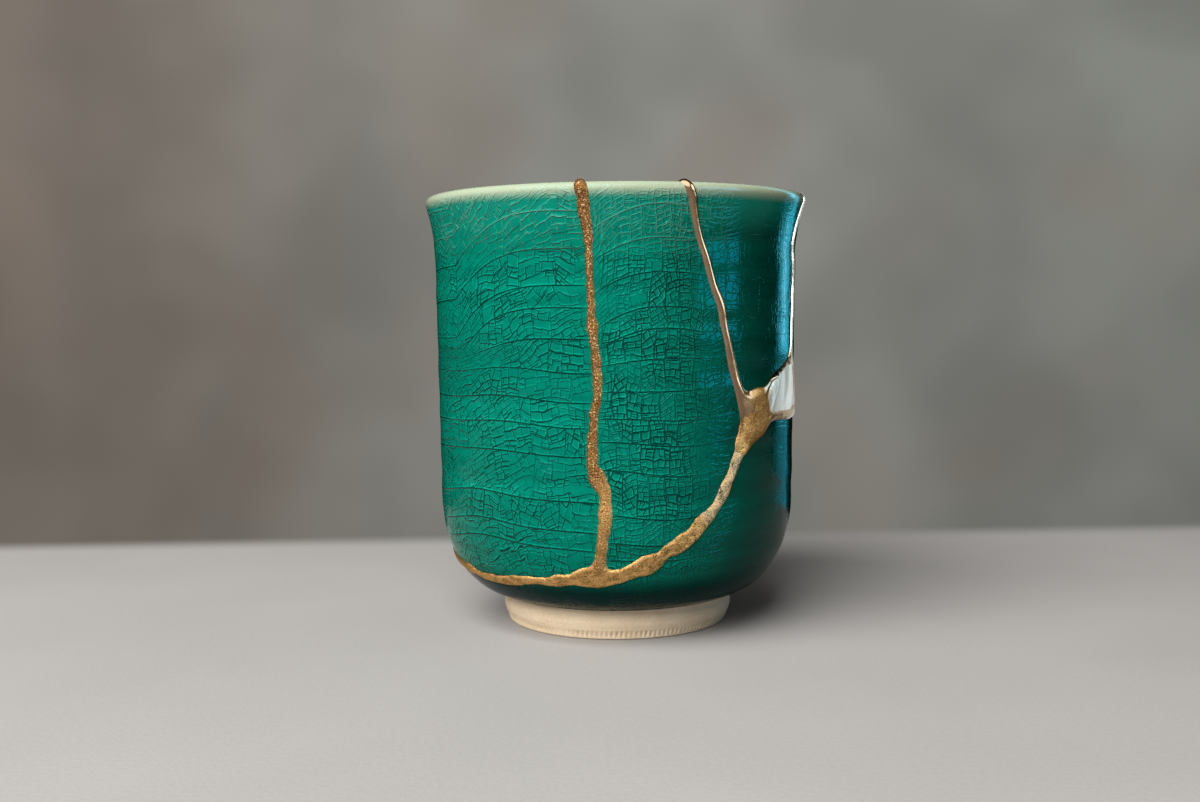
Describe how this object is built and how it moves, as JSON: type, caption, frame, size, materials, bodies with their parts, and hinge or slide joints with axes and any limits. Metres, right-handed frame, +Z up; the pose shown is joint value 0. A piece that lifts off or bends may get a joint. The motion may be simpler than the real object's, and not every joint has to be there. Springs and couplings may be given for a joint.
{
  "type": "kintsugi tea cup",
  "caption": "Straight-sided thrown tea cup with a flared rim and a foot ring, green crackle glaze, broken and mended with gold seams and a gilded chip fill.",
  "frame": {"origin": "on the surface it stands on, under the middle of the foot ring", "axes": "+Z up along the cup's turning axis, -Y towards the front of the cup, the side between the two long gold seams, +X to the right when seen from the front"},
  "size_m": [0.0798, 0.0799, 0.0901],
  "materials": {
    "glaze": "deep green, transparent crackle glaze, high gloss, unglazed buff clay on the foot ring",
    "seam_gold": "gold powder on lacquer, satin, slightly grainy",
    "fill_gold": "burnished pale gold"
  },
  "bodies": {
    "root": {"base_shard": "glaze", "back_shard": "glaze", "front_shard": "glaze", "side_shard": "glaze", "gold_fill": "fill_gold", "gold_seam_main": "seam_gold", "gold_seam_right": "seam_gold", "gold_seam_side": "seam_gold"}
  },
  "joints": []
}
